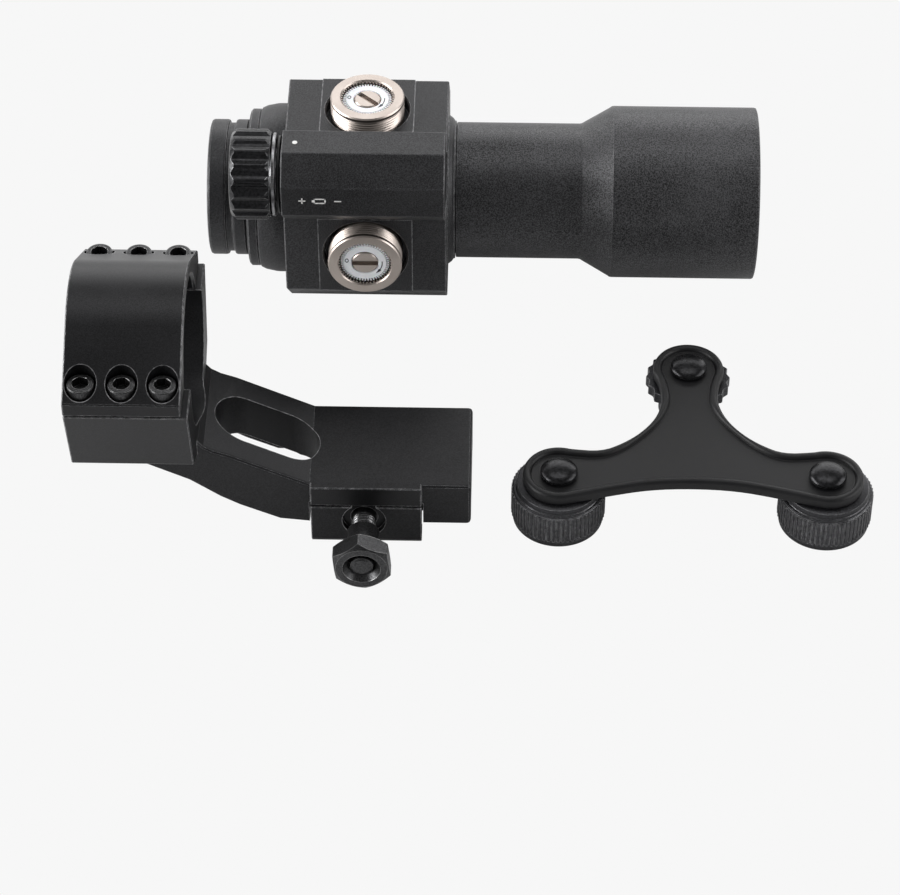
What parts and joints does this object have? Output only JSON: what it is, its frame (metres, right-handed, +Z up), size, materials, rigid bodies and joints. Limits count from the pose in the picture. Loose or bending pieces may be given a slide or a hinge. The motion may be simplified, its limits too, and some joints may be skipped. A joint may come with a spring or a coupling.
{
  "type": "finder scope",
  "caption": "Tube finder sight with turret dials, cantilever ring mount with rail clamp, and a tethered set of turret and battery caps.",
  "frame": {"origin": "centre of the whole layout on the surface it stands on", "axes": "+X along the sight from eyepiece to hood, -Y the windage side, +Z up"},
  "size_m": [0.1642, 0.1246, 0.06],
  "materials": {
    "black_anodised": "bead-blasted matte black anodising",
    "satin_black_anodised": "satin black anodising with bright worn edges",
    "gloss_black": "semi-gloss black",
    "black_rubber": "semi-gloss moulded rubber",
    "nickel_bronze": "turned and threaded",
    "white_dial": "pale dial with dark ticks",
    "steel": "plain",
    "black_oxide_steel": "black oxide, shiny at edges",
    "coated_glass": "coated optical glass",
    "red_emitter": "clear red",
    "circuit_green": "lacquered board"
  },
  "bodies": {
    "sight": {"sight_housing": "black_anodised", "objective_tube": "black_anodised", "battery_tube": "black_anodised", "eyepiece_ring": "black_anodised", "ocular_lens": "coated_glass", "ocular_lock_ring": "black_anodised", "objective_lens": "coated_glass", "objective_lock_ring": "black_anodised", "elevation_collar": "nickel_bronze", "windage_collar": "nickel_bronze", "return_spring": "steel", "battery_cell": "steel", "battery_spring": "steel", "dimmer_board": "circuit_green", "knob_seal": "black_rubber"},
    "knob": {"brightness_knob": "gloss_black", "knob_washer": "steel"},
    "elevation_dial": {"elevation_dial": "white_dial"},
    "elevation_screw": {"elevation_screw": "steel"},
    "windage_dial": {"windage_dial": "white_dial"},
    "windage_screw": {"windage_screw": "steel"},
    "gimbal": {"gimbal_ring": "black_anodised"},
    "erector": {"erector_tube": "black_anodised", "reflector_lens": "coated_glass", "dot_emitter": "red_emitter"},
    "mount": {"mount_base": "satin_black_anodised", "cross_bolt": "black_oxide_steel"},
    "ring_cap": {"ring_cap": "satin_black_anodised", "cap_screw_1": "black_oxide_steel", "cap_screw_2": "black_oxide_steel", "cap_screw_3": "black_oxide_steel", "cap_screw_4": "black_oxide_steel", "cap_screw_5": "black_oxide_steel", "cap_screw_6": "black_oxide_steel"},
    "clamp_jaw": {"clamp_jaw": "satin_black_anodised"},
    "clamp_nut": {"clamp_nut": "black_oxide_steel"},
    "tether": {"tether_strap": "black_rubber"},
    "elevation_cap": {"elevation_cap": "black_anodised", "elevation_cap_seal": "black_rubber", "elevation_cap_rivet": "gloss_black"},
    "windage_cap": {"windage_cap": "black_anodised", "windage_cap_seal": "black_rubber", "windage_cap_rivet": "gloss_black"},
    "battery_cap": {"battery_cap": "black_anodised", "battery_cap_contact": "nickel_bronze", "battery_cap_rivet": "gloss_black"}
  },
  "joints": [
    {"name": "knob_turn", "type": "hinge", "parent": "sight", "child": "knob", "pos_m": [-0.0257, 0.01892, 0.04338], "axis": [1, 0, 0], "range_deg": [0, 330]},
    {"name": "elevation_turn", "type": "hinge", "parent": "sight", "child": "elevation_dial", "pos_m": [-0.0257, 0.0401, 0.0222], "axis": [0, 0, 1], "range_deg": [-360, 360]},
    {"name": "elevation_travel", "type": "slide", "parent": "elevation_dial", "child": "elevation_screw", "axis": [0, 0, 1], "range_m": [-0.0005, 0.0005]},
    {"name": "windage_turn", "type": "hinge", "parent": "sight", "child": "windage_dial", "pos_m": [-0.0257, 0.0401, 0.0222], "axis": [0, -1, 0], "range_deg": [-360, 360]},
    {"name": "windage_travel", "type": "slide", "parent": "windage_dial", "child": "windage_screw", "axis": [0, -1, 0], "range_m": [-0.0005, 0.0005]},
    {"name": "elevation_tilt", "type": "hinge", "parent": "sight", "child": "gimbal", "pos_m": [-0.0477, 0.0401, 0.0222], "axis": [0, -1, 0], "range_deg": [-1.35, 1.35]},
    {"name": "windage_tilt", "type": "hinge", "parent": "gimbal", "child": "erector", "pos_m": [-0.0477, 0.0401, 0.0222], "axis": [0, 0, -1], "range_deg": [-1.35, 1.35]},
    {"name": "mount_lift", "type": "slide", "parent": "sight", "child": "mount", "axis": [0, 0, 1], "range_m": [0, 0.06]},
    {"name": "ring_cap_lift", "type": "slide", "parent": "mount", "child": "ring_cap", "axis": [0, 0, 1], "range_m": [0, 0.025]},
    {"name": "jaw_slide", "type": "slide", "parent": "mount", "child": "clamp_jaw", "axis": [0, -1, 0], "range_m": [0, 0.003]},
    {"name": "nut_turn", "type": "hinge", "parent": "mount", "child": "clamp_nut", "pos_m": [-0.0237, -0.0352, 0.0067], "axis": [0, -1, 0], "continuous": true},
    {"name": "tether_lift", "type": "slide", "parent": "sight", "child": "tether", "axis": [0, 0, 1], "range_m": [0, 0.06]},
    {"name": "elevation_cap_spin", "type": "hinge", "parent": "tether", "child": "elevation_cap", "pos_m": [0.01655, -0.0393, 0], "axis": [0, 0, 1], "continuous": true},
    {"name": "windage_cap_spin", "type": "hinge", "parent": "tether", "child": "windage_cap", "pos_m": [0.07225, -0.0393, 0], "axis": [0, 0, 1], "continuous": true},
    {"name": "battery_cap_spin", "type": "hinge", "parent": "tether", "child": "battery_cap", "pos_m": [0.0444, -0.0069, 0], "axis": [0, 0, 1], "continuous": true}
  ],
  "couplings": [
    {"joint": "elevation_turn", "follows": "elevation_travel", "rad_per_m": 12566},
    {"joint": "elevation_tilt", "follows": "elevation_travel", "rad_per_m": 45.455},
    {"joint": "windage_turn", "follows": "windage_travel", "rad_per_m": 12566},
    {"joint": "windage_tilt", "follows": "windage_travel", "rad_per_m": 45.455}
  ]
}
